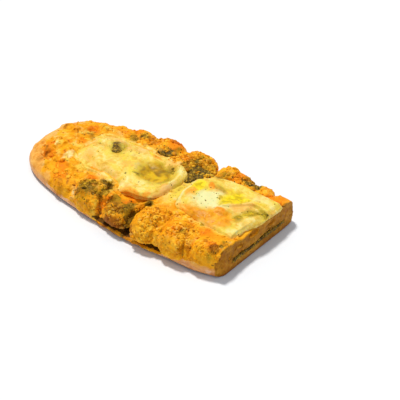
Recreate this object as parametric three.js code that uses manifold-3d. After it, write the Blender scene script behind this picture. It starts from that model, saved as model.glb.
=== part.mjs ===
// Brie pull-apart bread: a long flat loaf of dough folded over a pesto filling, with bulging
// lobes to pull off along both sides, two long slices of brie melted on top, pesto between them
// and browned grated cheese over the crust. One end is round, the other is cut straight across.
//
// Millimetres, +Z up. The model is laid out with x along the loaf from its round tip to the cut,
// y across it with the folded edge at the back (+y), and z up from the surface it lies on. The
// group then moves so that its origin is at the middle of the loaf's base.

import * as THREE from 'three';
import { mergeVertices } from 'three/addons/utils/BufferGeometryUtils.js';
import { ImprovedNoise } from 'three/addons/math/ImprovedNoise.js';
import Module from 'manifold-3d';

const wasm = await Module();
wasm.setup();

// Driving sizes of the loaf
const loafLength = 210; // to the cut, which is straight
const tipAt = - 2.5; // the round tip reaches a little past the place that lengths are measured from
const frontReach = 57; // from the middle line to the widest place of each side
const backReach = 48.5;
const tipHeight = 5; // height of the tip's foremost point
const crownHeights = [ // [ share of the length, height of the crust in the middle ]
	[ 0, 14 ], [ 0.1, 17.5 ], [ 0.25, 21 ], [ 0.5, 24.5 ], [ 0.75, 25.5 ], [ 1.1, 24 ],
];
const endRound = 108; // length over which the outline rounds off into the tip
const endFullness = 2.75; // higher is squarer
const tipRound = 20; // length over which the top rounds down to the tip
const tipFullness = 2.2;
const cutTaper = 0.2; // how much narrower the loaf gets towards the cut
const widestHeight = 4.5; // height at which the sides are widest
const bandHeight = 6.5; // the plain lower side of the dough; the lobes stand out above it
const bandBlend = 3; // height over which the dough above it draws in
const frontInset = 5.5; // how far the dough between the lobes lies inside them
const backInset = 3;
const insetFrom = [ 68, 92 ]; // along the loaf, where that inset begins and is full
const topFullness = 2.6;
const sideFullness = 4;
const baseDepth = 1.15; // the round underside is drawn this much too deep and then pressed flat
const bodySections = { around: 28, along: 42, crowding: 1.3 }; // crowding puts more of them at the tip
const beyondCut = 14; // dough made past the cut and then cut off
const gap = 0.3; // between pieces that touch

// Lobes to pull off: [ along, across, length, width, top, bottom, turn in degrees ]
const lobeFullness = 2.7; // of the plan; higher is squarer
const lobeTopFullness = 2.7;
const lobeSideFullness = 5; // below its widest place, where a lobe hangs over the base
const lobeWidest = 9; // height of that place
const lobeSections = { around: 16, upAndDown: 10 };
const frontLobes = [
	[ 60, - 39.5, 32, 30, 17.5, 1.5, 16 ],
	[ 86, - 42, 34, 31, 21.5, 1, 9 ],
	[ 116.5, - 47, 28.5, 23, 20, 6.2, 5 ],
	[ 146, - 42, 34, 35, 25, 6.2, 14 ],
	[ 171, - 40.5, 35, 33, 24.5, 5.5, 15 ],
	[ 201, - 37.5, 43, 32, 24, 4.5, 10 ],
];
const backLobes = [
	[ 67, 33, 31, 25, 21, 2, - 10 ],
	[ 94, 35, 35, 26, 22.5, 2, - 4 ],
	[ 124, 36, 35, 26, 23, 2, - 6 ],
	[ 160, 35.5, 45, 24, 23.5, 2, - 8 ],
	[ 186, 34.5, 24, 24, 23, 2, 0 ],
	[ 208, 33, 34, 24, 23, 2, - 4 ],
];

// The fold stands open under the third and fourth front lobe
const openFold = {
	from: 105, to: 165, depth: 16, low: 5.2, high: 9.4,
	innerShare: 0.35, thinnest: 0.05, wave: 0.5,
};

// Filling, a wavy layer between the base and the folded-over dough
const filling = {
	from: 90, front: - 42, back: 33, height: 8.2, thickness: 2.4, wave: 0.9,
	drawnIn: 12, drawnInFrom: 168, // its front edge draws in towards the cut
};

// Toppings: [ along, across ] of the middle, and sizes
const brie = { thickness: 2.2, sunk: 2.6, rimHeight: 1.7, rimWidth: 3.2, around: 30 };
const brieLeft = { along: 88.5, across: - 9.5, length: 95, width: 60, turn: 0, fullness: 3.5, narrow: 0.58 };
const brieRight = { along: 197, across: 0, length: 110, width: 57, turn: 4, fullness: 2.9 };
const pocket = { along: 114, across: - 4.5, radius: 15, depth: 2 };
const pestoPatches = {
	pesto_middle: { along: 134, across: 22, length: 26, width: 42, turn: 14, rise: 0.7 },
	pesto_back: { along: 99, across: 26, length: 19, width: 11, turn: - 8, rise: 1.2 },
	pesto_edge: { along: 175, across: 35, length: 18, width: 13, turn: - 10, rise: 1.2 },
	pesto_hole: { along: 67, across: 5, length: 15, width: 10, turn: - 49, rise: 1.6 },
};
const patchesOnCrust = [ 'pesto_middle', 'pesto_back', 'pesto_edge' ];
const pesto = { sunk: 2, around: 14 };

// Sections of the toppings, from the middle of the underside out to the edge and back
const brieProfile = [
	[ 0, - 1 ], [ 0.5, - 1 ], [ 0.9, - 0.95 ], [ 1, 0 ], [ 0.975, 0.75 ], [ 0.92, 1 ], [ 0.84, 1 ], [ 0.72, 1 ],
	[ 0.58, 1 ], [ 0.44, 1 ], [ 0.3, 1 ], [ 0.15, 1 ], [ 0, 1 ],
];
const pestoProfile = [
	[ 0, - 1 ], [ 0.85, - 0.9 ], [ 1, 0 ], [ 0.93, 0.7 ], [ 0.7, 1 ], [ 0.4, 1 ], [ 0, 1 ],
];
const seatHeadroom = 12;
const restingReach = 6; // melted cheese lies on the crust as evened out over this distance
const wavyEdge = { long: 0.03, short: 0.015 }; // of a topping's outline, as shares of its size

// Hollows in the crumb at the cut: [ across, height, width, height of hollow, depth ]
const crumbHollows = [
	[ - 22, 15.5, 9, 4, 7 ], [ - 4, 17.5, 11, 5, 9 ], [ 17, 15, 7, 3.4, 6 ], [ - 33, 12.5, 5, 3, 5 ],
];

// Browned cheese on the crust
const cheeseLumps = 54;
const cheeseSize = [ 5, 10 ];
const cheeseShape = [ 0.6, 0.42, 0.2 ]; // half length, half width and half height of a lump of size 1
const cheeseLift = 0.3;
const cheeseSeed = 21;
const clearOfTopping = 3.5;
const clearOfSide = 5; // lumps keep this far from the loaf's sides, tip and cut
const lowestCheese = 12;

// Unevenness of each surface: size of the bumps, height of the bumps
const crustBumps = { size: 9, height: 1.1 };
const lobeBumps = { size: 6.5, height: 0.9 };
const brieBumps = { size: 12, height: 0.45 };
const pestoBumps = { size: 3.2, height: 1.0 };

const mergeDistance = 1e-4;
const noise = new ImprovedNoise();

function bumpAt( point, bumps ) {

	const s = bumps.size;
	return bumps.height * noise.noise( point.x / s, point.y / s, point.z / s );

}

function signedPower( value, power ) {

	return Math.sign( value ) * Math.pow( Math.abs( value ), power );

}

// Superellipse: the other coordinate, 0 to 1, for a share of the half width
function arch( share, fullness ) {

	return Math.pow( Math.max( 1 - Math.pow( Math.min( Math.abs( share ), 1 ), fullness ), 0 ), 1 / fullness );

}

function crownAt( x ) {

	const share = THREE.MathUtils.clamp( x / loafLength, 0, crownHeights.at( - 1 )[ 0 ] );
	const next = Math.max( crownHeights.findIndex( ( knot ) => knot[ 0 ] >= share ), 1 );
	const [ lowShare, lowHeight ] = crownHeights[ next - 1 ];
	const [ highShare, highHeight ] = crownHeights[ next ];
	return lowHeight + ( highHeight - lowHeight ) * THREE.MathUtils.smoothstep( share, lowShare, highShare );

}

// How far the loaf reaches from its middle line, to the front (side -1) or the back (side 1)
function reachAt( x, side ) {

	const rounded = x < endRound ? arch( ( endRound - x ) / ( endRound - tipAt ), endFullness ) : 1;
	const tapered = 1 - cutTaper * Math.max( x - endRound, 0 ) / loafLength;
	return ( side < 0 ? frontReach : backReach ) * rounded * tapered;

}

// The same for the dough between the lobes, which stays full below them
function bodyReachAt( x, side, z ) {

	const inset = ( side < 0 ? frontInset : backInset ) * THREE.MathUtils.smoothstep( x, ...insetFrom );
	return reachAt( x, side ) - inset * THREE.MathUtils.smoothstep( z, bandHeight, bandHeight + bandBlend );

}

function tipRise( x ) {

	return arch( Math.max( 1 - ( x - tipAt ) / tipRound, 0 ), tipFullness );

}

// Distance from the middle of a superellipse, 1 on its outline
function superRadius( u, v, fullness ) {

	return Math.pow( Math.pow( Math.abs( u ), fullness ) + Math.pow( Math.abs( v ), fullness ), 1 / fullness );

}

// Place in a lobe's outline: 0 in its middle, 1 at its edge
function lobeShare( [ along, across, length, width, , , turn ], x, y ) {

	const angle = THREE.MathUtils.degToRad( turn );
	const dx = x - along, dy = y - across;
	const u = ( dx * Math.cos( angle ) + dy * Math.sin( angle ) ) / ( length / 2 );
	const v = ( dy * Math.cos( angle ) - dx * Math.sin( angle ) ) / ( width / 2 );
	return superRadius( u, v, lobeFullness );

}

function lobeTopAt( lobe, x, y ) {

	const share = lobeShare( lobe, x, y );
	const top = lobe[ 4 ];
	return share < 1 ? lobeWidest + ( top - lobeWidest ) * arch( share, lobeTopFullness ) : 0;

}

// Height of the crust at a place in the plan, lobes included
function crustHeightAt( x, y ) {

	const share = y / bodyReachAt( x, y, crownAt( x ) );
	const section = widestHeight + ( crownAt( x ) - widestHeight ) * arch( share, topFullness );
	const body = tipHeight + ( section - tipHeight ) * tipRise( x );
	return Math.max( body, ...[ ...frontLobes, ...backLobes ].map( ( lobe ) => lobeTopAt( lobe, x, y ) ) );

}

// The same, evened out over a few millimetres, as melted cheese lies on it
function restingHeightAt( x, y ) {

	const directions = 8;
	let sum = crustHeightAt( x, y );
	for ( let k = 0; k < directions; k ++ ) {

		const angle = 2 * Math.PI * k / directions;
		sum += crustHeightAt( x + restingReach * Math.cos( angle ), y + restingReach * Math.sin( angle ) );

	}

	return sum / ( directions + 1 );

}

// A closed geometry whose every point is moved by a function, as a solid
function shapedSolid( geometry, shape ) {

	geometry.deleteAttribute( 'normal' );
	geometry.deleteAttribute( 'uv' );
	const merged = mergeVertices( geometry, mergeDistance );
	const position = merged.getAttribute( 'position' );
	const point = new THREE.Vector3();
	for ( let i = 0; i < position.count; i ++ ) {

		shape( point.fromBufferAttribute( position, i ) );
		position.setXYZ( i, point.x, point.y, point.z );

	}

	return solidFrom( merged );

}

function solidFrom( geometry ) {

	return new wasm.Manifold( new wasm.Mesh( {
		numProp: 3,
		vertProperties: geometry.getAttribute( 'position' ).array,
		triVerts: new Uint32Array( geometry.index.array ),
	} ) );

}

function solidBox( low, high ) {

	const size = high.clone().sub( low );
	const centre = low.clone().add( high ).multiplyScalar( 0.5 );
	return shapedSolid( new THREE.BoxGeometry( size.x, size.y, size.z ), ( point ) => point.add( centre ) );

}

function geometryFrom( solid ) {

	const mesh = solid.getMesh();
	const geometry = new THREE.BufferGeometry();
	geometry.setAttribute( 'position', new THREE.BufferAttribute( new Float32Array( mesh.vertProperties ), 3 ) );
	geometry.setIndex( new THREE.BufferAttribute( new Uint32Array( mesh.triVerts ), 1 ) );
	geometry.computeVertexNormals();
	return geometry;

}

// The plain body: a ball drawn out along x, flat below, wider than high
function bodyDough() {

	const ball = new THREE.SphereGeometry( 1, bodySections.around, bodySections.along );
	return shapedSolid( ball, ( point ) => {

		// the ball's poles are at its y ends, and lie along x in the loaf
		const station = Math.acos( THREE.MathUtils.clamp( point.y, - 1, 1 ) ) / Math.PI;
		const ring = Math.atan2( point.x, - point.z );
		const x = tipAt + ( loafLength + beyondCut - tipAt ) * Math.pow( station, bodySections.crowding );
		const side = Math.cos( ring ), up = Math.sin( ring );
		const section = up > 0
			? widestHeight + ( crownAt( x ) - widestHeight ) * Math.pow( up, 2 / topFullness )
			: widestHeight - baseDepth * widestHeight * Math.pow( - up, 2 / sideFullness );
		const z = tipHeight + ( section - tipHeight ) * tipRise( x );
		const fullness = up > 0 ? topFullness : sideFullness;
		const y = bodyReachAt( x, side, section ) * signedPower( side, 2 / fullness );
		point.set( x, y, z );
		const bump = bumpAt( point, crustBumps ) * THREE.MathUtils.smoothstep( z, 2, 9 );
		point.y += bump * side;
		point.z = Math.max( point.z + bump * Math.max( up, 0 ), 0 );

	} );

}

function lobeDough( [ along, across, length, width, top, bottom, turn ] ) {

	const angle = THREE.MathUtils.degToRad( turn );
	const ball = new THREE.SphereGeometry( 1, lobeSections.around, lobeSections.upAndDown );
	return shapedSolid( ball, ( point ) => {

		const outward = new THREE.Vector3( point.x, - point.z, point.y );
		const fullness = outward.z > 0 ? lobeTopFullness : lobeSideFullness;
		const height = outward.z > 0 ? top - lobeWidest : lobeWidest - bottom;
		const heading = Math.atan2( outward.y, outward.x );
		const share = Math.pow( Math.hypot( outward.x, outward.y ), 2 / fullness );
		point.set(
			share * signedPower( Math.cos( heading ), 2 / lobeFullness ) * length / 2,
			share * signedPower( Math.sin( heading ), 2 / lobeFullness ) * width / 2,
			lobeWidest + signedPower( outward.z, 2 / fullness ) * height
		);
		point.applyAxisAngle( new THREE.Vector3( 0, 0, 1 ), angle );
		point.add( new THREE.Vector3( along, across, 0 ) );
		point.addScaledVector( outward, bumpAt( point, lobeBumps ) );
		point.z = Math.max( point.z, 0 );

	} );

}

// A wavy layer, thicker and wider by a margin where it is used to cut
function fillingLayer( margin ) {

	const length = loafLength + 1 - filling.from + margin;
	const width = filling.back - filling.front + 2 * margin;
	const thickness = filling.thickness + 2 * margin;
	const layer = new THREE.BoxGeometry( length, width, thickness, 14, 6, 1 );
	layer.translate( filling.from - margin + length / 2, ( filling.back + filling.front ) / 2, filling.height );
	return shapedSolid( layer, ( point ) => {

		const { x, y } = point;
		const atFront = ( filling.back - y ) / ( filling.back - filling.front );
		point.y += filling.drawnIn * atFront * THREE.MathUtils.smoothstep( x, filling.drawnInFrom, loafLength );
		point.z += filling.wave * ( Math.sin( x / 9 ) + 0.6 * Math.sin( y / 6 + 1 ) );

	} );

}

// Where the fold stands open along the front, above the flap
function openFoldCut() {

	const { from, to, depth, low, high, innerShare, thinnest, wave } = openFold;
	const length = to - from;
	const wedge = new THREE.BoxGeometry( length, 2 * depth, high - low, 10, 4, 1 );
	return shapedSolid( wedge, ( point ) => {

		const opening = arch( 2 * point.x / length, 2 );
		const outside = THREE.MathUtils.smoothstep( - point.y, - depth, depth );
		point.z *= Math.max( opening * THREE.MathUtils.lerp( innerShare, 1, outside ), thinnest );
		point.z += ( low + high ) / 2 + wave * Math.sin( point.x / 7 );
		point.x += ( from + to ) / 2;
		point.y -= reachAt( point.x, - 1 );

	} );

}

// Width of a topping's front half against its back half, which narrows towards the tip
function frontShareAt( topping, u ) {

	return THREE.MathUtils.lerp( topping.narrow ?? 1, 1, THREE.MathUtils.smoothstep( u, - 1, 0.25 ) );

}

// Place in a topping's own outline: 0 in its middle, 1 at its edge
function outlineShare( topping, x, y, margin = 0 ) {

	const angle = THREE.MathUtils.degToRad( topping.turn );
	const dx = x - topping.along, dy = y - topping.across;
	const u = ( dx * Math.cos( angle ) + dy * Math.sin( angle ) ) / ( topping.length / 2 + margin );
	const v = ( dy * Math.cos( angle ) - dx * Math.sin( angle ) ) / ( topping.width / 2 + margin );
	const across = v < 0 ? v / frontShareAt( topping, u ) : v;
	return superRadius( u, across, topping.fullness ?? 2 );

}

// A topping that lies in the crust, turned from a profile of [ share of the outline, level ] points.
// Level -1 is its underside and 1 its surface; topAt gives how far that stands above the crust.
// A seat is the same with room for the gap, and open upwards.
function lyingTopping( topping, profile, around, sunk, topAt, seat ) {

	const angle = THREE.MathUtils.degToRad( topping.turn );
	const margin = seat ? gap : 0;
	const shown = profile.filter( ( ring ) => ! seat || ring[ 1 ] <= 0 );
	const rings = shown.map( ( ring ) => new THREE.Vector2( ...ring ) );
	if ( seat ) rings.push( new THREE.Vector2( 1, 1 ), new THREE.Vector2( 0, 1 ) );
	return shapedSolid( new THREE.LatheGeometry( rings, around ), ( point ) => {

		const level = point.y;
		const share = Math.hypot( point.x, point.z );
		const heading = Math.atan2( - point.z, point.x );
		const longWave = wavyEdge.long * Math.sin( 3 * heading + topping.along );
		const wavy = 1 + longWave + wavyEdge.short * Math.sin( 7 * heading );
		const square = 2 / ( topping.fullness ?? 2 );
		const cos = signedPower( Math.cos( heading ), square );
		const sin = signedPower( Math.sin( heading ), square );
		const front = sin < 0 ? frontShareAt( topping, cos ) : 1;
		const u = cos * share * wavy * ( topping.length / 2 + margin );
		const v = sin * share * wavy * front * ( topping.width / 2 + margin );
		const x = topping.along + u * Math.cos( angle ) - v * Math.sin( angle );
		const y = topping.across + v * Math.cos( angle ) + u * Math.sin( angle );
		const above = seat ? seatHeadroom : topAt( x, y, share );
		const height = level > 0 ? level * above : level * ( sunk + margin );
		point.set( x, y, restingHeightAt( x, y ) + height );

	} );

}

function brieTopAt( x, y, share, slice ) {

	const edge = Math.min( slice.length, slice.width ) / 2 * ( 1 - share );
	const rim = brie.rimHeight * Math.exp( - Math.pow( ( edge - brie.rimWidth ) / brie.rimWidth, 2 ) );
	const away = Math.hypot( x - pocket.along, y - pocket.across ) / pocket.radius;
	const dip = pocket.depth * ( 1 - THREE.MathUtils.smoothstep( away, 0.4, 1.1 ) );
	return brie.thickness + rim - dip + bumpAt( new THREE.Vector3( x, y, 0 ), brieBumps );

}

function brieSlice( slice, seat ) {

	const topAt = ( x, y, share ) => brieTopAt( x, y, share, slice );
	return lyingTopping( slice, brieProfile, brie.around, brie.sunk, topAt, seat );

}

function pestoPatch( patch, seat ) {

	const lumpy = ( x, y ) => patch.rise + bumpAt( new THREE.Vector3( x, y, 1.7 ), pestoBumps );
	return lyingTopping( patch, pestoProfile, pesto.around, pesto.sunk, lumpy, seat );

}

// Browned cheese: flat lumps scattered over the crust where nothing else lies
function cheese() {

	THREE.MathUtils.seededRandom( cheeseSeed );
	const random = () => THREE.MathUtils.seededRandom();
	const toppings = [ brieLeft, brieRight, ...Object.values( pestoPatches ) ];
	const lumps = [];
	while ( lumps.length < cheeseLumps ) {

		const x = THREE.MathUtils.lerp( clearOfSide, loafLength - clearOfSide, random() );
		const y = THREE.MathUtils.lerp( clearOfSide - reachAt( x, - 1 ), reachAt( x, 1 ) - clearOfSide, random() );
		const size = THREE.MathUtils.lerp( ...cheeseSize, random() );
		const turn = random() * Math.PI;
		const clear = toppings.every( ( topping ) => outlineShare( topping, x, y, clearOfTopping + size / 2 ) > 1 );
		const z = crustHeightAt( x, y );
		if ( ! clear || z < lowestCheese ) continue;
		lumps.push( shapedSolid( new THREE.OctahedronGeometry( 1, 1 ), ( point ) => {

			point.multiply( new THREE.Vector3( ...cheeseShape ) ).multiplyScalar( size );
			point.applyAxisAngle( new THREE.Vector3( 0, 0, 1 ), turn );
			point.x += x;
			point.y += y;
			point.z += crustHeightAt( point.x, point.y ) + cheeseLift + 0.2 * bumpAt( point, crustBumps );

		} ) );

	}

	return wasm.Manifold.union( lumps );

}

function crumbHollowCuts() {

	return crumbHollows.map( ( [ across, height, width, tall, depth ] ) => {

		return shapedSolid( new THREE.SphereGeometry( 1, 10, 8 ), ( point ) => {

			point.multiply( new THREE.Vector3( depth / 2, tall / 2, width / 2 ) );
			point.set( loafLength + point.x, across - point.z, height + point.y );

		} );

	} );

}

// What lies past the cut
const pastCut = solidBox(
	new THREE.Vector3( loafLength, - frontReach, - crustBumps.size ),
	new THREE.Vector3( loafLength + brieRight.length, frontReach, 2 * frontReach )
);

function makeBread() {

	const lobes = [ ...frontLobes, ...backLobes ].map( lobeDough );
	const dough = wasm.Manifold.union( [ bodyDough(), ...lobes ] );
	const seats = [ brieSlice( brieLeft, true ), brieSlice( brieRight, true ) ];
	const patches = patchesOnCrust.map( ( name ) => pestoPatch( pestoPatches[ name ], true ) );
	const cuts = [ pastCut, fillingLayer( gap ), openFoldCut(), ...seats, ...patches, ...crumbHollowCuts() ];
	return dough.add( cheese() ).subtract( wasm.Manifold.union( cuts ) );

}

// Keeps the largest piece, so that no scrap is left loose where cuts meet
function largestPiece( solid ) {

	return solid.decompose().sort( ( a, b ) => b.volume() - a.volume() )[ 0 ];

}

const breadMaterial = new THREE.MeshStandardMaterial( { color: 0xf0a548, roughness: 0.75, metalness: 0 } );
const brieMaterial = new THREE.MeshStandardMaterial( { color: 0xffe382, roughness: 0.35, metalness: 0 } );
const pestoMaterial = new THREE.MeshStandardMaterial( { color: 0x6b5c1c, roughness: 0.6, metalness: 0 } );

const loaf = new THREE.Group();

function addNode( name, solid, material ) {

	const mesh = new THREE.Mesh( geometryFrom( largestPiece( solid ) ), material );
	mesh.name = name;
	loaf.add( mesh );

}

addNode( 'bread', makeBread(), breadMaterial );
addNode( 'pesto_filling', fillingLayer( 0 ).subtract( pastCut ), pestoMaterial );
const holeSeat = pestoPatch( pestoPatches.pesto_hole, true );
addNode( 'brie_left', brieSlice( brieLeft ).subtract( holeSeat ), brieMaterial );
addNode( 'brie_right', brieSlice( brieRight ).subtract( pastCut ), brieMaterial );
const brieSeats = wasm.Manifold.union( [ brieSlice( brieLeft, true ), brieSlice( brieRight, true ) ] );
for ( const name of patchesOnCrust ) {

	addNode( name, pestoPatch( pestoPatches[ name ] ).subtract( brieSeats ), pestoMaterial );

}

addNode( 'pesto_hole', pestoPatch( pestoPatches.pesto_hole ), pestoMaterial );

// The origin goes to the middle of the base
const bounds = new THREE.Box3().setFromObject( loaf );
const middle = bounds.getCenter( new THREE.Vector3() );
for ( const mesh of loaf.children ) mesh.position.set( - middle.x, - middle.y, - bounds.min.z );

export default loaf;
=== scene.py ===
# Brie pull-apart bread: browned crust, melted brie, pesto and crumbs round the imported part
import math

import bpy
import numpy as np
from mathutils import Matrix, Vector, noise


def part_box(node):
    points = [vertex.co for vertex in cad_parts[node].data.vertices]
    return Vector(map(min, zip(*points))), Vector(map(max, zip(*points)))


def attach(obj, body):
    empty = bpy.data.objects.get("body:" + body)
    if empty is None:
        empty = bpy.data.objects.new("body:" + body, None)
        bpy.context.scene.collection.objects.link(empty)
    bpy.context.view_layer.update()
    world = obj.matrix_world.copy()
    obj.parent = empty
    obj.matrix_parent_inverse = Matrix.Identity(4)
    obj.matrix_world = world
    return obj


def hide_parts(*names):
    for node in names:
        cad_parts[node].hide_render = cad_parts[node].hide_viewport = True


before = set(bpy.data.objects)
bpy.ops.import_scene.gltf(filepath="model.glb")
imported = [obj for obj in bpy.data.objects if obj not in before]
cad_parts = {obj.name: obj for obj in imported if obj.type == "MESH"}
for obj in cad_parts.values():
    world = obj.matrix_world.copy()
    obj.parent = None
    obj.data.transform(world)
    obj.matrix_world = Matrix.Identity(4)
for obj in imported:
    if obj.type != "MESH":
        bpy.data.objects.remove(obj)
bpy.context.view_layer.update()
bpy.ops.object.select_all(action="DESELECT")

# The plan that all marks are given in: millimetres along the loaf from near its round tip, and
# across it from its middle line, with the back side positive
plan = {"tip": -2.5, "front": -59.95, "cut": 210}
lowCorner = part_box("bread")[0]
planZero = np.array([
    lowCorner.x - plan["tip"] / 1000,
    lowCorner.y - plan["front"] / 1000,
    lowCorner.z,
])


def toPlan(points):
    return (points - planZero) * 1000


def added(name, data):  # a new object of the scene
    made = bpy.data.objects.new(name, data)
    bpy.context.scene.collection.objects.link(made)
    return made


# Camera and light

camera = {
    "aim": (100, 0, 10),  # plan point that the picture was fitted to
    "azimuth": 40.9, "elevation": 36.6, "distance": 1.1,  # degrees and metres
    "aside": 0.0424, "down": 0.0151,  # metres from that point to the middle of the picture
    "lens": 128, "nearest": 0.05, "farthest": 20,
}


def placeCamera():
    side = math.radians(camera["azimuth"])
    rise = math.radians(camera["elevation"])
    back = Vector((math.sin(side) * math.cos(rise), -math.cos(side) * math.cos(rise), math.sin(rise)))
    right = Vector((math.cos(side), math.sin(side), 0))
    up = back.cross(right)
    aim = Vector(planZero) + Vector(camera["aim"]) / 1000
    middle = aim + right * camera["aside"] - up * camera["down"]
    made = added("camera", bpy.data.cameras.new("camera"))
    made.data.lens = camera["lens"]
    made.data.clip_start, made.data.clip_end = camera["nearest"], camera["farthest"]
    straight = Matrix((right, up, back)).transposed()
    location = aim + back * camera["distance"]
    turn = (-back).rotation_difference(middle - location)
    made.matrix_world = Matrix.LocRotScale(location, turn @ straight.to_quaternion(), None)
    bpy.context.scene.camera = made
    print("camera: at", [round(part, 3) for part in location])
    return back, right


light = {
    "sky": 0.56, "skyColour": (0.86, 0.93, 1), "sun": 2.6, "sunColour": (1, 0.97, 0.92), "sunSpread": 8,
    "fromLeft": 0.5, "fromBehind": 0.62, "fromAbove": 2.3,  # the sun's direction, seen from the camera
}


def placeLights(back, right):
    world = bpy.data.worlds.new("softbox")
    bpy.context.scene.world = world
    world.use_nodes = True
    sky = world.node_tree.nodes["Background"]
    sky.inputs["Color"].default_value = (*light["skyColour"], 1)
    sky.inputs["Strength"].default_value = light["sky"]
    away = Vector((-back.x, -back.y, 0)).normalized()
    toSun = away * light["fromBehind"] - right * light["fromLeft"] + Vector((0, 0, light["fromAbove"]))
    sun = added("sun", bpy.data.lights.new("sun", "SUN"))
    sun.data.energy, sun.data.color = light["sun"], light["sunColour"]
    sun.data.angle = math.radians(light["sunSpread"])
    sun.rotation_mode = "QUATERNION"
    sun.rotation_quaternion = toSun.to_track_quat("Z", "Y")
    print("lights: sky", light["sky"], "sun", light["sun"])


# Small helpers for making and shaping pieces

def ease(value, start, end):  # 0 up to the start, 1 from the end, smooth between them
    share = np.clip((value - start) / (end - start), 0, 1)
    return share * share * (3 - 2 * share)


def easeAt(value, centre, ends):  # the same, with start and end counted from a centre
    return ease(value, centre + ends[0], centre + ends[1])


def vectorsOf(piece, kind):
    values = np.empty(len(piece.data.vertices) * 3)
    piece.data.vertices.foreach_get(kind, values)
    return values.reshape(-1, 3)


def pointsOf(piece):
    return vectorsOf(piece, "co")


def planOf(piece):
    return toPlan(pointsOf(piece))


def normalsOf(piece):
    return vectorsOf(piece, "normal")


def choose(piece):
    bpy.ops.object.select_all(action="DESELECT")
    piece.select_set(True)
    bpy.context.view_layer.objects.active = piece


def setAll(made, settings):  # settings of a modifier, texture or node
    for name, value in settings.items():
        setattr(made, name, value)
    return made


def finishWith(piece, kind, **settings):  # adds one modifier and applies it
    choose(piece)
    modifier = setAll(piece.modifiers.new(kind, kind), settings)
    bpy.ops.object.modifier_apply(modifier=modifier.name)


def copyOfNode(node, name):
    piece = added(name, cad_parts[node].data.copy())
    piece.data.materials.clear()
    choose(piece)
    bpy.ops.object.mode_set(mode="EDIT")
    bpy.ops.mesh.select_all(action="SELECT")
    bpy.ops.mesh.remove_doubles(threshold=1e-6)
    bpy.ops.object.mode_set(mode="OBJECT")
    return piece


def smoothShade(piece):
    choose(piece)
    bpy.ops.object.shade_smooth()
    print(piece.name + ":", len(piece.data.polygons), "faces")


def remake(piece, voxel, rounds):  # as one closed skin of small even faces, smoothed
    finishWith(piece, "REMESH", mode="VOXEL", voxel_size=voxel / 1000)
    finishWith(piece, "SMOOTH", factor=0.5, iterations=rounds)


def limitTo(piece, weights):  # a vertex group from an array of weights, 0 to 1
    steps = 100
    group = piece.vertex_groups.new(name="where")
    levels = np.rint(np.clip(weights, 0, 1) * steps).astype(int)
    for level in range(1, steps + 1):
        found = np.flatnonzero(levels == level)
        if len(found):
            group.add(found.tolist(), level / steps, "REPLACE")
    return group.name


def displace(piece, height, weights, **settings):  # the weighted places by a height in millimetres
    if weights is not None:
        settings["vertex_group"] = limitTo(piece, weights)
    finishWith(piece, "DISPLACE", strength=height / 1000, **settings)
    piece.vertex_groups.clear()


def lift(piece, height, weights, direction="Z"):
    displace(piece, height, weights, direction=direction, mid_level=0)


def roughen(piece, kind, relief, weights=None, middle=0.5, share=1, **settings):
    # Relief is a texture's size and height in millimetres, and its middle level stays in place
    size, height = relief
    settings["noise_scale"] = size / 1000
    texture = setAll(bpy.data.textures.new(f"{kind}{size}", kind), settings)
    displace(piece, height * share, weights, texture=texture, texture_coords="LOCAL", mid_level=middle)


def keep(piece, name, values):  # a value at each vertex, for the materials
    made = piece.data.attributes.get(name) or piece.data.attributes.new(name, "FLOAT", "POINT")
    made.data.foreach_set("value", np.asarray(values, np.float32))


def kept(piece, name):
    values = np.empty(len(piece.data.vertices), np.float32)
    piece.data.attributes[name].data.foreach_get("value", values)
    return values


def spots(where, marks, soft=0.75):
    # How strongly marks cover each point: (along, across, length, width, strength, turn in degrees),
    # where the last two may be left out as 1 and 0
    cover = np.zeros(len(where))
    for along, across, length, width, *rest in marks:
        strength, turn = (*rest, *(1, 0)[len(rest):])
        angle = math.radians(turn)
        dx, dy = where[:, 0] - along, where[:, 1] - across
        u = (dx * math.cos(angle) + dy * math.sin(angle)) / (length / 2)
        v = (dy * math.cos(angle) - dx * math.sin(angle)) / (width / 2)
        cover = np.maximum(cover, strength * ease(np.hypot(u, v), 1 + soft, 1 - soft))
    return cover


def awayFrom(where, line):  # distance in the plan to a line of (along, across) points
    nearest = np.full(len(where), np.inf)
    for (x0, y0), (x1, y1) in zip(line, line[1:]):
        dx, dy = x1 - x0, y1 - y0
        share = np.clip(((where[:, 0] - x0) * dx + (where[:, 1] - y0) * dy) / (dx * dx + dy * dy), 0, 1)
        away = np.hypot(where[:, 0] - x0 - share * dx, where[:, 1] - y0 - share * dy)
        nearest = np.minimum(nearest, away)
    return nearest


def alongLine(where, line, width):  # 1 on the line, 0 from a width away
    return ease(awayFrom(where, line), width, 0)


seedStep = 17.3  # how far apart in the noise two seeds read it


def wander(where, size, seed):  # smooth unevenness, about -1 to 1, of a size in millimetres
    return np.array([noise.noise(p) for p in (where / size + seed * seedStep)])


def astray(where, size, reach):  # plan points moved about a little, so that a mark's edge wanders
    moved = where.copy()
    moved[:, 0] += reach * wander(where, size, 1)
    moved[:, 1] += reach * wander(where, size, 2)
    return moved


def grooves(piece, rounds):  # how deep each place lies under the evened surface, in millimetres
    evened = added("evened", piece.data.copy())
    finishWith(evened, "SMOOTH", factor=1.0, iterations=rounds)
    deep = ((pointsOf(evened) - pointsOf(piece)) * normalsOf(piece)).sum(1) * 1000
    bpy.data.objects.remove(evened)
    return deep


# Materials

def tint(code):  # a colour written as six hex digits
    parts = [int(code[k:k + 2], 16) / 255 for k in (0, 2, 4)]
    return (*[p / 12.92 if p < 0.04045 else ((p + 0.055) / 1.055) ** 2.4 for p in parts], 1)


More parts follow.
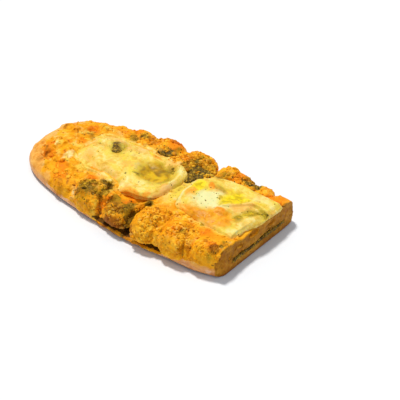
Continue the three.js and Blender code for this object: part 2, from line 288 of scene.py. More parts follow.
class Recipe:  # one material and the few kinds of node that it is mixed from
    def __init__(self, name):
        self.material = bpy.data.materials.new(name)
        self.material.use_nodes = True
        self.tree = self.material.node_tree
        self.surface = self.tree.nodes["Principled BSDF"]
        self.place = self.node("TexCoord").outputs["Object"]

    def node(self, kind, settings=None, **inputs):
        made = setAll(self.tree.nodes.new("ShaderNode" + kind), settings or {})
        for name, value in inputs.items():
            self.put(made.inputs[name], value)
        return made

    def put(self, socket, value):
        if isinstance(value, bpy.types.NodeSocket):
            self.tree.links.new(value, socket)
        else:
            socket.default_value = value

    def value(self, name):  # what keep() left on the mesh
        return self.node("Attribute", {"attribute_name": name}).outputs["Fac"]

    def grain(self, size, detail=3.0, rough=0.55, distort=0.0):  # noise of a size in millimetres
        return self.node(
            "TexNoise", Vector=self.place, Scale=1000 / size, Detail=detail,
            Roughness=rough, Distortion=distort,
        ).outputs["Fac"]

    def filled(self, kind, settings, *parts):  # a node and what goes into its first inputs
        made = self.node(kind, settings)
        for socket, part in zip(made.inputs, parts):
            self.put(socket, part)
        return made

    def cells(self, size, wobble=0.0):  # a random colour for each clump of a size; wobble bends their edges
        bent = self.node("TexNoise", Vector=self.place, Scale=1000 / size, Detail=2.0).outputs["Color"]
        adding = {"operation": "MULTIPLY_ADD"}
        moved = self.filled("VectorMath", adding, bent, (wobble / 1000,) * 3, self.place).outputs[0]
        return self.node("TexVoronoi", Vector=moved, Scale=1000 / size).outputs["Color"]

    def times(self, a, b, more=0.0):  # a times b, and more added
        return self.filled("Math", {"operation": "MULTIPLY_ADD"}, a, b, more).outputs[0]

    def plus(self, a, b):
        return self.times(a, 1.0, b)

    def swing(self, by, amount, value):  # a value moved up and down by a noise
        return self.times(self.plus(by, -0.5), amount, value)

    def stretch(self, value, low, high, toLow=0.0, toHigh=1.0):
        smooth = {"interpolation_type": "SMOOTHSTEP"}
        return self.filled("MapRange", smooth, value, low, high, toLow, toHigh).outputs["Result"]

    def broken(self, value, by, amount, low=0.35, high=0.65):  # a mask whose edge follows a noise
        return self.stretch(self.swing(by, amount, value), low, high)

    def mix(self, share, *colours):
        made = self.node("Mix", {"data_type": "RGBA"})
        self.put(made.inputs[0], share)
        for socket, colour in zip(made.inputs[6:], colours):
            self.put(socket, tint(colour) if isinstance(colour, str) else colour)
        return made.outputs[2]

    def paint(self, under, layers, mark, by, shade=None):
        # Colours the kept mark as its layer says: colour code or stops, then what broken() takes
        over, *edge = layers[mark]
        if isinstance(over, list):
            over = self.ramp(shade, over)
        return self.mix(self.broken(self.value(mark), by, *edge), under, over)

    def ramp(self, value, stops):  # stops are (place, colour code)
        made = self.node("ValToRGB", Fac=value)
        while len(made.color_ramp.elements) < len(stops):
            made.color_ramp.elements.new(0.5)
        for element, (spot, code) in zip(made.color_ramp.elements, stops):
            element.position, element.color = spot, tint(code)
        return made.outputs["Color"]

    def bump(self, height, distance, strength=1.0, under=None):
        made = self.node("Bump", Height=height, Strength=strength, Distance=distance / 1000)
        if under is not None:
            self.put(made.inputs["Normal"], under)
        return made.outputs["Normal"]

    def finish(self, **inputs):
        for name, value in inputs.items():
            self.put(self.surface.inputs[name.replace("_", " ")], value)
        print(self.material.name + ":", len(self.tree.nodes), "nodes")
        return self.material


# Where the top is coloured, in marks as spots() reads them
topMarks = {
    "orange": [
        (17, -18, 10, 7, 0.9, -40), (23, -29, 17, 14, 0.8, -50), (45, -36, 13, 10, 1, -30),
        (37, -3, 10, 8, 0.9, -30), (50, -46, 14, 9, 1, -20), (77, -34, 9, 8, 0.9),
        (32, 16, 16, 10, 0.8, -30), (28, -8, 10, 6, 0.6, -40), (34, -19, 9, 6, 0.7, -50),
        (68, -27, 9, 5, 0.7, -30), (61, 36, 12, 11, 0.9), (50, 29, 22, 9, 0.6), (102, -49, 7, 16),
        (116, -37, 10, 9), (98, 38, 14, 18, 0.8), (117, 30, 15, 12, 0.6), (164, 36, 9, 16, 0.8),
        (200, 34, 24, 18, 0.8), (145, -31, 16, 13, 0.5), (142, -40, 8, 10, 0.5), (160, -40, 12, 14, 0.5),
        (169, -46, 16, 14, 0.6), (188, -32, 20, 9, 0.8), (174, -33, 8, 6, 0.6), (197, -42, 12, 8, 0.9, -20),
        (86, 34, 8, 14, 0.5, 20), (20, 5, 12, 8, 0.4, 30), (16, 20, 14, 7, 0.6, 40),
        (58, -45, 20, 12, 0.6, -30),
    ],
    "browned": [
        (10, 7, 9, 4, 0.7, -40), (20, -25, 12, 3, 0.8, -60), (25, -30, 11, 3, 0.8, -60),
        (18, -31, 8, 3, 0.6, -60), (34, -19, 9, 2.5, 0.8, -50), (44, -21, 9, 2, 0.5, -40),
        (66, -26, 7, 2.5, 0.6, -40), (33, -42, 9, 6, 0.5, -40), (37, -51, 12, 5, 0.6, -40),
        (57, -44, 12, 2.5, 0.8, -60), (62, -48, 12, 2.5, 0.8, -60), (67, -45, 8, 3, 0.6, -50),
        (30, 24, 12, 4, 0.5, 20), (59, -54, 14, 4, 0.5), (110, -47, 16, 12, 0.6), (104, -43, 4, 8, 0.7),
        (118, -50, 12, 8, 0.5), (143, -36, 7, 5, 0.7), (176, -43, 6, 7, 0.6), (203, -45, 9, 9, 0.8),
        (52, -50, 16, 4, 0.6, -20), (112, -59, 60, 7, 0.9, 6), (78, -27, 5, 2, 0.7),
        (86, -29, 6, 2, 0.8, -10), (92, -26, 4, 2, 0.6), (193, -41, 6, 5, 0.7), (101, 31, 8, 12, 0.6),
        (168, -54, 16, 6, 0.5), (120, 32, 9, 8, 0.6, 30), (48, 27, 10, 7, 0.5), (87, -43, 6, 5, 0.6),
        (148, -44, 6, 6, 0.5), (156, -35, 6, 4, 0.5),
    ],
    # Olive is mostly pesto; the marks at (90, -32), (133, -33) and (177, -26), under the front edges of the
    # slices, are painted shade
    "olive": [
        (39, 6, 9, 11, 0.6), (66, 27, 11, 8, 0.9, -20), (72, 32, 9, 8, 0.8), (80, 38, 14, 18, 0.4),
        (104, 32, 7, 16, 0.7), (100, 24, 15, 8, 0.9), (83, -46, 20, 18), (90, -32, 14, 9, 1, -30),
        (96, -42, 8, 16), (110, -44, 16, 14, 0.85), (121, -45, 12, 18), (127, -48, 8, 18),
        (114, -50, 24, 14, 0.6), (131, 30, 14, 22, 0.8), (122, 21, 16, 6, 0.8, -40), (148, -50, 8, 14, 0.5),
        (173, -45, 7, 12, 0.7), (153, 29, 13, 15, 0.75), (175, 38, 17, 15, 0.9), (177, -26, 6, 3, 1, -20),
        (133, -33, 8, 6, 1, -30), (205, -36, 6, 12, 0.7), (203, -49, 9, 7, 0.6), (143, 3, 7, 12, 0.5),
        (140, -6, 7, 20, 0.5), (185, 38, 10, 8, 0.4), (96, -54, 8, 8, 0.5),
    ],
    "melted": [
        (141, -10, 16, 34), (92, 23, 40, 7, 0.5, 4), (150, 24, 14, 8, 0.6, 20), (60, -31, 16, 8, 0.6, -10),
        (24, -2, 12, 9, 0.5, 20), (34, -10, 12, 8, 0.7), (146, -26, 14, 8, 0.4), (30, 8, 16, 8, 0.7, 20),
        (22, -14, 12, 6, 0.6, -40), (30, -23, 12, 5, 0.6, -50), (44, -30, 16, 6, 0.7, -30),
        (14, -8, 10, 7, 0.6), (84, -27, 26, 5, 0.7, -8), (44, 22, 18, 7, 0.5, 10),
        (72, -34, 10, 5, 0.4, -20),
    ],
    "pale": [
        (41, -24, 10, 9, 1, -50), (30, -34, 10, 4, 0.4, -40), (52, -31, 10, 4, 0.3, -20),
        (72, -51, 9, 6, 0.6), (77, -42, 8, 4, 0.4), (141, -13, 9, 22, 0.3), (118, 20, 10, 6, 0.6, -30),
        (14, 0, 8, 6, 0.4), (158, -31, 9, 5, 0.4), (205, -30, 8, 6, 0.4), (184, -46, 8, 12, 0.4),
        (55, 22, 16, 7, 0.5, -20), (22, 10, 10, 5, 0.4, 30),
    ],
    "granular": [
        (88, -46, 40, 26), (116, -48, 30, 20), (146, -46, 34, 26), (170, -42, 34, 28, 0.8),
        (200, -42, 24, 20, 0.8), (80, 36, 44, 22, 0.9), (120, 34, 30, 26), (158, 34, 30, 18, 0.9),
        (186, 38, 20, 14, 0.4), (60, -46, 26, 16, 0.4, -10), (22, -29, 16, 12, 0.4, -50),
        (130, -59, 66, 8, 0.8),
    ],
}
markEdges = {"size": 7, "reach": 2.5}


def keepMarks(piece, where, marks):
    moved = astray(where, markEdges["size"], markEdges["reach"])
    for name, places in marks.items():
        keep(piece, name, spots(moved, places))


brieRests = [  # where the bread rises to meet the melted edge of a slice of brie
    {"edge": [(98, -36), (90, -33), (82, -31), (70, -28), (60, -26), (50, -22), (42, -12), (41, 4), (46, 16),
              (58, 20), (76, 21), (98, 20), (112, 18)],
     "crust": [(38, 19.8), (60, 20.0), (75, 20.9), (98, 22.6), (115, 23)], "reach": 13},
    {"edge": [(156, -24), (164, -25), (175, -26), (190, -26), (204, -25)],
     "crust": [(140, 24.0), (160, 23.2), (200, 23.4)], "reach": 8},
]
meltedRun = {"out": -9, "in": 5, "size": 10, "reach": 4}  # across the brie's edge


def keepMelted(piece, where, side):  # brie's colour runs out over the bread: side 1 is the brie
    moved = astray(where, meltedRun["size"], meltedRun["reach"])
    nearest = np.min([awayFrom(moved, rest["edge"]) for rest in brieRests], axis=0)
    runs = ease(side * nearest, meltedRun["out"], meltedRun["in"])
    if side < 0:
        runs = np.maximum(runs, spots(moved, topMarks["melted"]))
    keep(piece, "melted", runs)


# Bread: dough, its lobes and the browned cheese that lies on them

bread = {  # a relief is the size and height of its texture
    "voxel": 0.6, "evened": 4, "mostFaces": 190000,
    "smoothUpTo": [
        (-3, 13.5), (8, 13), (18, 9), (40, 7), (70, 5), (92, 3), (102, 0), (150, 0), (166, 4),
        (188, 9), (210, 10),
    ],
    "doughEdge": [(3, 11, 4), (1.2, 3, 6)],  # how it wanders: height, size, seed
    "rim": [(34, -53), (22, -43), (10, -30), (3, -15), (1, 0), (4, 12), (9, 20)],  # bare dough
    "rimWidth": 7.5, "rimStray": (9, 5),
    "patches": (13, 7),  # of crumbled cheese, with smoother cheese between them: size, seed
    "valleyRounds": 160, "deepestValley": 2.5, "highestRidge": 1.5, "valleyGain": 0.4,
    "bulge": 1.3, "seamStray": (9, 2.2), "filled": 1.8, "filledFrom": 1.2, "deepestRest": 2.4,
    "threadHeight": 1.3, "threadWidth": 1.9, "threadStray": (5, 1.5),
    "swells": (13, 1.6),
    "strings": (7, 0.9),  # cheese that has run together
    "chunks": (7.5, -2.2), "bits": (3.2, -1.4),  # crumbled cheese
    "fine": (1.6, 0.35),
    "cutWaves": (16, 1.6), "crumb": (4, 1.6), "bubbles": (2.4, 0.7),  # on the cut
}
fades = {  # where a zone starts and where it is full
    "dough": (1.4, -1), "rim": (3, -3),  # round the dough's top and the rim's width
    "cut": (-1.2, -0.6), "pores": (-7, -6),  # along, from the cut
    "base": (0.8, 0.2), "upper": (6, 11), "lobes": (7, 12), "seams": (4, 9), "openCut": (1, 3),  # in height
    "ledgeFloor": (2.6, 3.8), "ledgeRoof": (9, 6),
    "edges": (0.6, -1.4),  # round the height up to which an edge is shifted
    "back": (36, 22),  # across the loaf
    "patches": (-0.35, 0.1),  # of the noise
    "fillsFace": (0, 0.5), "restsFace": (0.3, 0.8), "ledgeFace": (0.1, 0.6),  # of the upward normal
    "gapFace": (0.1, -0.3), "poresFace": (0.25, 0.5),  # of the normal to the back, and to the cut
}
seams = [  # between the lobes: depth, width, then (along, across) points
    (2.6, 3.6, [(94, -32), (98, -46), (102, -60)]), (3.8, 3.8, [(133, -32), (128, -42), (126, -60)]),
    (1.3, 3, [(150, -38), (154, -44), (154, -60)]), (2, 3, [(176, -40), (179, -46), (184, -60)]),
    (1, 3.2, [(72, -34), (68, -46), (66, -57)]), (1, 3.8, [(57, 30), (56, 50)]),
    (2.4, 3, [(119, -35), (125, -31), (129, -24), (131, -15)]), (1, 3.8, [(79, 28), (77, 50)]),
    (1, 3.8, [(108, 28), (107, 50)]), (1.2, 4, [(140, 30), (138, 50)]),
    (1.2, 4, [(177, 32), (177, 48)]), (1.4, 3.2, [(193, 30), (194, 46)]),
]
bulges = [  # marks of the lobes that stand out rounder
    (86, -43, 22, 18, 0.8, 10), (115, -48, 20, 15, 0.9), (142, -45, 22, 22, 1, 14),
    (168, -43, 24, 22, 0.8, 14), (196, -42, 24, 22, 0.8, 8), (68, 36, 16, 16, 0.7),
    (94, 38, 20, 16, 0.7), (124, 38, 22, 14, 0.7), (158, 37, 28, 14, 0.7), (201, 34, 18, 14, 0.6),
]
fills = [  # marks of the creases that melted cheese has filled
    (143, -28, 26, 12, 1, -15), (160, -33, 20, 9, 0.8), (186, -32, 26, 10, 0.8),
]
foldGap = {"along": [(100, 108), (166, 158)], "height": [(4.6, 5.4), (10.5, 7.5)], "depth": 2.6}
# The strip of base under the lobes' roof is painted dark: painted shade in the open fold
foldLedge = (132, -56, 74, 18)  # mark of the dark strip of base that shows in the open fold
edgeShifts = [  # where the front edge lies elsewhere: distance, direction, up to what height, mark
    (2.4, "Y", 30, (56, -54, 68, 26, 1, -14)), (6.5, "Y", 30, (217, -60, 40, 26)),
    (-3.5, "X", 16, (214, -56, 18, 22)), (-2.2, "Y", 4.6, (140, -58, 54, 16)),
]
threads = [  # ridges where cheese has run together on the left end
    [(32, -10), (38, -16), (46, -20), (53, -25), (61, -28), (70, -32)],
    [(14, -12), (22, -9), (31, -11)], [(20, -26), (26, -18), (27, -12)],
    [(24, 12), (27, 3), (33, -2), (44, -9)], [(16, 8), (24, 12), (34, 12)],
    [(12, -2), (18, 2), (22, 8)], [(26, -30), (34, -24), (40, -24)], [(36, -34), (44, -30), (56, -34)],
    [(30, 22), (38, 20), (46, 24)], [(8, 6), (13, 12), (22, 18)],
]


def fade(value, name, centre=0):
    return easeAt(value, centre, fades[name])


def zonesOf(loaf):  # where each place lies, and how far it belongs to each kind of surface
    where = planOf(loaf)
    along, height = where[:, 0], where[:, 2]
    doughTop = np.interp(along, *zip(*bread["smoothUpTo"]))
    for rise, size, seed in bread["doughEdge"]:
        doughTop += rise * wander(where, size, seed)
    toRim = awayFrom(astray(where, *bread["rimStray"]), bread["rim"])
    rim = fade(toRim, "rim", bread["rimWidth"])
    smooth = np.maximum(fade(height, "dough", doughTop), rim)
    cut = fade(along, "cut", plan["cut"])
    free = (1 - fade(height, "base")) * (1 - cut)  # the base and the cut stay flat
    patchy = fade(wander(where, *bread["patches"]), "patches")
    rough = spots(where, topMarks["granular"]) * (1 - smooth) * patchy
    return {
        "where": where, "normals": normalsOf(loaf), "smooth": smooth, "cut": cut, "free": free,
        "upper": fade(height, "upper"), "patchy": patchy, "rough": rough,
    }


def deepenValleys(loaf, zone):
    deep, high, gain = bread["deepestValley"], bread["highestRidge"], bread["valleyGain"]
    valley = np.clip(grooves(loaf, bread["valleyRounds"]), -high, deep) * zone["free"] * zone["upper"]
    valley *= fade(zone["where"][:, 1], "back")
    lift(loaf, -deep * gain, valley / deep, "NORMAL")
    lift(loaf, high * gain, -valley / high, "NORMAL")
    return valley


def shapeLobes(loaf, zone):
    where, free = zone["where"], zone["free"]
    height = where[:, 2]
    deepest = max(depth for depth, _, _ in seams)
    moved = astray(where, *bread["seamStray"])
    seamed = np.max([depth / deepest * alongLine(moved, line, width) for depth, width, line in seams], 0)
    raised = spots(where, bulges, 0.9) * free * fade(height, "lobes")
    lift(loaf, bread["bulge"], raised, "NORMAL")
    lift(loaf, -deepest, seamed * free * fade(height, "seams"), "NORMAL")
    return seamed * free


def meetBrie(loaf, zone, valley):  # fills creases and rises to the brie's edge
    where, upward = zone["where"], zone["normals"][:, 2]
    filled = spots(where, fills) * np.clip(valley, 0, bread["filledFrom"]) / bread["filledFrom"]
    lift(loaf, bread["filled"], filled * fade(upward, "fillsFace"))
    for rest in brieRests:
        crust = np.interp(where[:, 0], *zip(*rest["crust"]))
        sunk = np.clip((crust - where[:, 2]) / bread["deepestRest"], 0, 1)
        near = ease(awayFrom(where, rest["edge"]), rest["reach"], rest["reach"] / 2)
        lift(loaf, bread["deepestRest"], sunk * near * fade(upward, "restsFace"))


def openFold(loaf, zone):  # and shifts the front edge
    where = zone["where"]
    height = where[:, 2]
    gap = fade(zone["normals"][:, 1], "gapFace") * zone["free"]
    for axis, name in ((0, "along"), (2, "height")):
        for start, end in foldGap[name]:
            gap *= ease(where[:, axis], start, end)
    lift(loaf, foldGap["depth"], gap, "Y")
    for distance, direction, upTo, mark in edgeShifts:
        lift(loaf, distance, spots(where, [mark]) * fade(height, "edges", upTo), direction)
    return gap


def crumble(loaf, zone):  # the relief of cheese and crumb, and how far it raised each place
    smooth, free, rough = zone["smooth"], zone["free"], zone["rough"]
    moved = astray(zone["where"], *bread["threadStray"])
    ridged = np.max([alongLine(moved, thread, bread["threadWidth"]) for thread in threads], axis=0)
    lift(loaf, bread["threadHeight"], ridged * zone["upper"])
    roughen(loaf, "CLOUDS", bread["swells"], free * (1 - 0.8 * smooth), noise_depth=1)
    before = pointsOf(loaf)
    roughen(
        loaf, "MUSGRAVE", bread["strings"], free * zone["upper"] * (1 - rough) * (1 - smooth),
        musgrave_type="RIDGED_MULTIFRACTAL", noise_intensity=0.5,
    )
    roughen(loaf, "VORONOI", bread["chunks"], free * rough)
    roughen(loaf, "VORONOI", bread["bits"], free * (0.1 + 0.9 * rough) * (1 - smooth))
    roughen(loaf, "CLOUDS", bread["fine"], free * (1 - 0.9 * smooth), noise_depth=2)
    opened = zone["cut"] * fade(zone["where"][:, 2], "openCut")
    roughen(loaf, "CLOUDS", bread["cutWaves"], opened, 0.6, noise_depth=1)
    roughen(loaf, "CLOUDS", bread["crumb"], opened, 0.8, noise_depth=3)
    roughen(loaf, "VORONOI", bread["bubbles"], opened)
    return ((pointsOf(loaf) - before) * zone["normals"]).sum(1) * 1000


def keepGapAndCut(loaf, zone, gap):
    where, normals, cut = zone["where"], zone["normals"], zone["cut"]
    height = where[:, 2]
    # The ledge under the lobes is kept with the gap, so both get painted shade
    ledge = spots(where, [foldLedge], 0.3) * fade(height, "ledgeFloor")
    ledge *= fade(height, "ledgeRoof") * fade(normals[:, 2], "ledgeFace")
    keep(loaf, "gap", np.maximum(gap, ledge))
    pored = fade(where[:, 0], "pores", plan["cut"]) * fade(normals[:, 0], "poresFace")
    keep(loaf, "cut", np.maximum(cut, pored))


def makeBread():
    loaf = copyOfNode("bread", "loaf")
    remake(loaf, bread["voxel"], bread["evened"])
    zone = zonesOf(loaf)
    where = zone["where"]
    valley = deepenValleys(loaf, zone)
    seamed = shapeLobes(loaf, zone)
    meetBrie(loaf, zone, valley)
    gap = openFold(loaf, zone)
    keep(loaf, "risen", crumble(loaf, zone))
    # Depth of the valleys and lobe seams, which the crust material darkens as painted shade
    keep(loaf, "valley", np.maximum(valley / 2 * (1 - spots(where, fills)), seamed * 1.3))
    keep(loaf, "smooth", zone["smooth"] * (1 - zone["cut"]))
    keepGapAndCut(loaf, zone, gap)
    keepMarks(loaf, where, topMarks)
    keep(loaf, "granular", kept(loaf, "granular") * zone["patchy"])
    keepMelted(loaf, where, -1)
    triangles = 2 * len(loaf.data.polygons)
    finishWith(loaf, "DECIMATE", ratio=bread["mostFaces"] / triangles)
    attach(loaf, "root")
    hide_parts("bread")
    smoothShade(loaf)
    return loaf


cheeseColours = {
    "pale": [(0.37, "d6a030"), (0.45, "e4b842"), (0.53, "efcc60"), (0.62, "f5e094")],
    "yellower": "e6cc46", "warmer": "f2b458",
    "golden": [(0.3, "cc7c04"), (0.43, "e8960a"), (0.55, "f6aa14"), (0.7, "fcc038")],
}
meltedEdge = (0.7, 0.2, 0.8)
crustColours = {  # a colour, and for a mark also how its edge follows a noise
    "pale": ([(0.3, "e4b050"), (0.5, "f5d488"), (0.7, "fbe8b0")], 0.6, 0.25, 0.85),
    "orange": ([(0.3, "bc5604"), (0.45, "e47a06"), (0.58, "f4900c"), (0.72, "fbac20")], 0.9, 0.25, 0.8),
    "olive": ([(0.32, "3d2c04"), (0.45, "77560a"), (0.57, "a87c12"), (0.72, "cfa020")], 1.1, 0.3, 0.9),
    "browned": ([(0.35, "7a3a06"), (0.55, "ac6210"), (0.75, "d08a24")], 1.0, 0.3, 0.9),
    # The crease, valley and gap colours are painted shade in the crust's hollows
    "tops": "f49c14", "smoothCrease": "d87408", "crease": "a86c0a", "oliveCrease": "5c4406",
    "valley": "6a4608", "darkSpeck": "8e500a", "lightSpeck": "f6c860", "gap": "3a2006",
}
doughColours = {
    "dough": [(0.35, "dc8c2c"), (0.5, "eeaa4a"), (0.65, "f6be62")],
    "low": "e4a070", "floury": "f0c4a0", "baked": "c06a28", "scorched": "8a4a18",
    "browned": ("9a5a14", 1.2, 0.3, 1.1),
    "crumb": [(0.36, "aa6a0e"), (0.48, "c27e18"), (0.6, "d29434")],
    "hollow": "84500c", "pores": "8a540e", "stained": "a45c10",
}


def cheeseTones(dye):  # what the crust and the brie share, so that one runs into the other
    broad, middle, fine = dye.grain(12, 2), dye.grain(3.6, 3, 0.5, 0.4), dye.grain(1.1, 3)
    shade = dye.times(middle, 0.5, dye.times(broad, 0.35))
    shade = dye.times(fine, 0.15, shade)
    pale = dye.ramp(shade, cheeseColours["pale"])
    hue = dye.grain(17, 2)
    pale = dye.mix(dye.stretch(hue, 0.5, 0.38, 0, 0.7), pale, cheeseColours["yellower"])
    pale = dye.mix(dye.stretch(hue, 0.52, 0.64, 0, 0.7), pale, cheeseColours["warmer"])
    return broad, middle, fine, shade, pale


def crumbledShade(dye, shade, fine, granular):  # clumps and grains of cheese, each lighter or darker
    clump = dye.node("SeparateColor", Color=dye.cells(5.5, wobble=2.5)).outputs[0]
    clump = dye.swing(clump, dye.times(granular, 0.3, 0.08), 0)
    speckled = dye.swing(fine, dye.times(granular, 0.32, 0.1), 0)
    toned = dye.times(dye.value("tone"), 0.2, speckled)
    return dye.plus(shade, dye.plus(clump, toned))


def cheeseColour(dye, shade, middle, brieTone, granular, risen):
    tones = crustColours
    golden = dye.ramp(shade, cheeseColours["golden"])
    colour = dye.paint(golden, tones, "pale", middle, shade)
    colour = dye.mix(dye.broken(dye.value("melted"), middle, *meltedEdge), colour, brieTone)
    colour = dye.paint(colour, tones, "orange", middle, shade)
    tops = dye.stretch(risen, 0.1, 0.8, 0, 0.4)
    colour = dye.mix(dye.times(tops, granular), colour, tones["tops"])
    # Low places between the grains painted darker: painted shade in the pits, olive where pesto lies in them
    low = dye.stretch(dye.swing(middle, -1.2, risen), -0.1, -0.9)
    shadedCreases = dye.mix(granular, tones["smoothCrease"], tones["crease"])
    shadedCreases = dye.mix(dye.value("olive"), shadedCreases, tones["oliveCrease"])
    share = dye.times(dye.value("olive"), 0.4, 0.5)
    colour = dye.mix(dye.times(low, share), colour, shadedCreases)
    for mark in ("olive", "browned"):
        colour = dye.paint(colour, tones, mark, middle, shade)
    # Valleys and seams between the lobes painted dark brown: painted shade
    valley = dye.broken(dye.value("valley"), middle, 0.7, 0.3, 1.0)
    colour = dye.mix(dye.times(valley, 0.75), colour, tones["valley"])
    dark = dye.stretch(dye.grain(1.8, 2, 0.5, 0.3), 0.59, 0.67)
    dark = dye.times(dark, dye.times(granular, 0.7, 0.1))
    colour = dye.mix(dark, colour, tones["darkSpeck"])
    light = dye.stretch(dye.grain(2.6, 2, 0.5, 0.3), 0.58, 0.68, 0, 0.6)
    return dye.mix(dye.times(light, granular), colour, tones["lightSpeck"])


def doughColour(dye, shade, broad, middle, height):
    tones = doughColours
    lowDown = dye.stretch(dye.times(broad, -0.006, height), 0.008, 0.001)
    dough = dye.ramp(shade, tones["dough"])
    dough = dye.mix(dye.times(lowDown, 0.7), dough, tones["low"])
    floury = dye.stretch(dye.grain(7, 3), 0.5, 0.64, 0, 0.7)
    dough = dye.mix(dye.times(floury, lowDown), dough, tones["floury"])
    baked = dye.stretch(dye.grain(9, 3, 0.6, 0.6), 0.5, 0.66, 0, 0.7)
    baked = dye.times(baked, dye.times(lowDown, 0.7, 0.3))
    return dye.mix(baked, dough, tones["baked"])


def crumbColour(dye, shade, risen):
    tones = doughColours
    crumb = dye.ramp(shade, tones["crumb"])
    # Hollows of the cut painted darker, and small dark spots for pores that are not modelled: painted shade
    # in the crumb's holes
    crumb = dye.mix(dye.stretch(risen, -0.1, -1.4, 0, 0.45), crumb, tones["hollow"])
    pores = dye.stretch(dye.grain(2.2, 2, 0.5, 0.4), 0.55, 0.64, 0, 0.5)
    crumb = dye.mix(pores, crumb, tones["pores"])
    stained = dye.stretch(dye.grain(11, 3, 0.6, 0.8), 0.5, 0.64, 0, 0.6)
    return dye.mix(stained, crumb, tones["stained"])


def crustMaterial():
    dye = Recipe("brownedCheeseCrust")
    broad, middle, fine, shade, brieTone = cheeseTones(dye)
    granular, risen = dye.value("granular"), dye.value("risen")
    height = dye.node("SeparateXYZ", Vector=dye.place).outputs[2]
    shade = crumbledShade(dye, shade, fine, granular)
    colour = cheeseColour(dye, shade, middle, brieTone, granular, risen)
    scorched = dye.stretch(dye.times(middle, -0.004, height), 0.0012, -0.0014)
    scorched = dye.times(scorched, 0.8)  # where it lay on the tray
    dough = dye.mix(scorched, doughColour(dye, shade, broad, middle, height), doughColours["scorched"])
    dough = dye.paint(dough, doughColours, "browned", middle)
    colour = dye.mix(dye.broken(dye.value("smooth"), middle, 0.5, 0.25, 0.75), colour, dough)
    # The open fold and the ledge under the lobes painted near black: painted shade
    gap = dye.times(dye.broken(dye.value("gap"), middle, 0.6), 0.9)
    colour = dye.mix(gap, colour, crustColours["gap"])
    crumb = dye.mix(scorched, crumbColour(dye, shade, risen), doughColours["scorched"])
    colour = dye.mix(dye.value("cut"), colour, crumb)
    under = dye.bump(middle, 0.4, 0.3)
    normal = dye.bump(fine, 0.3, dye.times(granular, 0.35, 0.2), under)
    return dye.finish(
        Base_Color=colour, Normal=normal, Roughness=dye.stretch(middle, 0.3, 0.7, 0.5, 0.72),
        Specular_IOR_Level=0.16, Specular_Tint=(1, 0.8, 0.45, 1),
    )


# Brie: two slices melted over the loaf

brie = {  # the last four name how the edge is tucked in
    "voxel": 0.6, "evened": 8, "swell": 0.4, "waves": (7, 1.1), "fine": (2.2, 0.35),
    "tuck": 1.3, "tuckFade": (1.6, 0.4), "tuckCut": (-1, -3), "tuckAway": 12,
}
# For each slice: pulls are (distance, direction, mark, softness), bands (height, width, line),
# hollows (depth, softness, mark), and shadowed says how dark the tucked edge is painted, as painted shade
brieShapes = {
    "brieLeft": {
        "pulls": [
            (7.5, "Y", (82, -42, 34, 30, 1, -8), 0.5), (3, "Y", (104, -42, 26, 20), 0.6),
            (3.5, "Y", (122, -40, 32, 24, 1, 14), 0.6),
        ],
        "bands": [
            (-3.8, 14, brieRests[0]["edge"]),
            (0.5, 4, [
                (104, 16), (116, 15), (126, 10), (132, 1), (133, -9), (129, -19), (121, -27), (108, -31),
            ]),
            (-1.2, 6, [(112, 10), (123, 6), (128, -4), (126, -13), (117, -21), (104, -26)]),
            (0.7, 3, [(47, -18), (53, -22), (61, -26), (70, -30)]), (0.6, 2.5, [(44, 6), (52, 2), (60, -6)]),
            (0.5, 2.5, [(50, 14), (62, 15), (72, 12)]),
        ],
        "hollows": [
            (1.8, 0.35, (113, -2.5, 33, 27)), (0.8, 0.6, (108, -21, 24, 7, 1, 6)),
            (0.8, 0.5, (72, 3, 24, 14, 1, -30)),
        ],
        "crustHeight": [(41, 20), (75, 20.5), (105, 21.6), (134, 22.6)], "shadowed": 1,
    },
    "brieRight": {
        "pulls": [(3.5, "Y", (172, -34, 60, 20), 0.5), (-5, "X", (214, -22, 16, 34), 0.6)],
        "bands": [
            (-2.6, 9, [(148, -17), (152, -22), (165, -26), (190, -27), (210, -26)]),
            (1.8, 2.2, [(179, -4), (189, 6), (194, 11), (199, 13), (206, 12), (210, 13)]),
            (-2, 6, [(190, -9), (195, -1), (200, 6), (205, 9), (210, 9)]),
            (-0.8, 10, [(184, -18), (192, -16), (204, -14)]),
            (0.5, 4, [(150, -18), (144, -9), (142, 3), (147, 14), (160, 21), (176, 24), (198, 25)]),
            (-2, 4, [(210, -26), (210, 30)]),
        ],
        "hollows": [
            (0.9, 0.6, (180, 9, 18, 22, 1, 20)), (0.6, 0.6, (167, -6, 20, 16)),
            (-1.3, 0.6, (180, -9, 8, 7)), (-0.7, 0.6, (158, 9, 7, 7)),
        ],
        "crustHeight": [(140, 24.3), (160, 23), (210, 23)], "shadowed": 0.3,
    },
}
